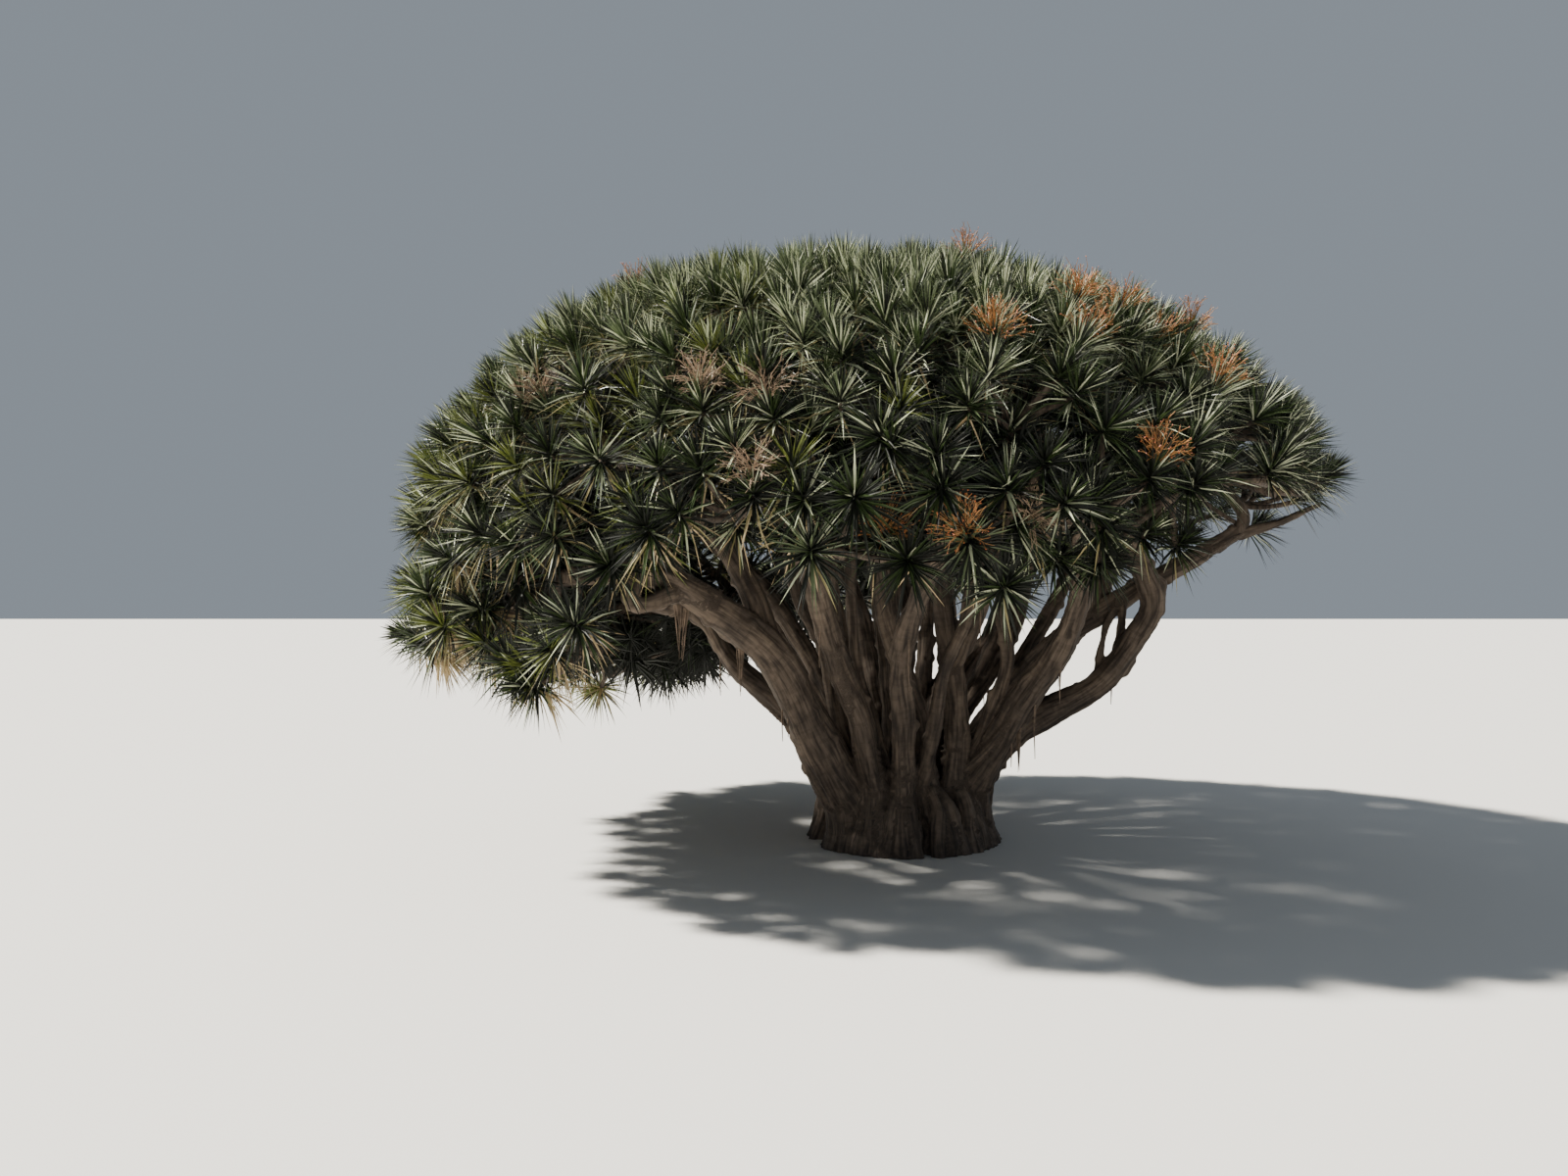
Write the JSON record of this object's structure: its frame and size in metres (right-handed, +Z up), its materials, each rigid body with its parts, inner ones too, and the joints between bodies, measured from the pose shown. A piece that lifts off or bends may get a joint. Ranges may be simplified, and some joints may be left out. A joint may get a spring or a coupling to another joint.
{
  "type": "dragon tree",
  "caption": "Old dragon tree with a low fluted trunk, a sheaf of stout leaning boughs and a broad dome of sword-leaved rosettes, with hanging aerial roots.",
  "frame": {"origin": "on the ground, at the middle of the trunk's flat foot", "axes": "+Z up, +X to the viewer's right along the crown's longer width, +Y away from the viewer"},
  "size_m": [11.5337, 10.4523, 7.3075],
  "materials": {
    "bark": "matt grey-brown bark, fluted and ringed by leaf scars",
    "aerial_root": "matt red-brown bundles of thin roots",
    "foliage": "satin grey-green sword leaves with pale edges, some dry and tan"
  },
  "bodies": {
    "root": {"bough_back": "bark", "bough_back_left": "bark", "bough_back_right": "bark", "bough_centre": "bark", "bough_front": "bark", "bough_front_inner": "bark", "bough_front_left": "bark", "bough_front_right": "bark", "bough_front_upright": "bark", "bough_inner_back": "bark", "bough_inner_back_left": "bark", "bough_inner_back_right": "bark", "bough_inner_left": "bark", "bough_inner_right": "bark", "bough_left_arch": "bark", "bough_outer_left": "bark", "bough_right_low": "bark", "bough_right_reach": "bark", "foliage_mid_110": "foliage", "foliage_mid_155": "foliage", "foliage_mid_20": "foliage", "foliage_mid_200": "foliage", "foliage_mid_245": "foliage", "foliage_mid_290": "foliage", "foliage_mid_335": "foliage", "foliage_mid_65": "foliage", "foliage_rim_0": "foliage", "foliage_rim_118": "foliage", "foliage_rim_152": "foliage", "foliage_rim_186": "foliage", "foliage_rim_216": "foliage", "foliage_rim_248": "foliage", "foliage_rim_284": "foliage", "foliage_rim_322": "foliage", "foliage_rim_40": "foliage", "foliage_rim_80": "foliage", "foliage_top_0": "foliage", "foliage_upper_102": "foliage", "foliage_upper_174": "foliage", "foliage_upper_246": "foliage", "foliage_upper_30": "foliage", "foliage_upper_318": "foliage", "limb_centre_back": "bark", "limb_front_fork": "bark", "limb_front_left_upper": "bark", "limb_left_low": "bark", "limb_left_reach": "bark", "limb_left_upper": "bark", "limb_right_mid": "bark", "root_arch_end": "aerial_root", "root_arch_middle": "aerial_root", "root_front_fork": "aerial_root", "root_front_right": "aerial_root", "root_right_reach": "aerial_root", "trunk": "bark"}
  },
  "joints": []
}
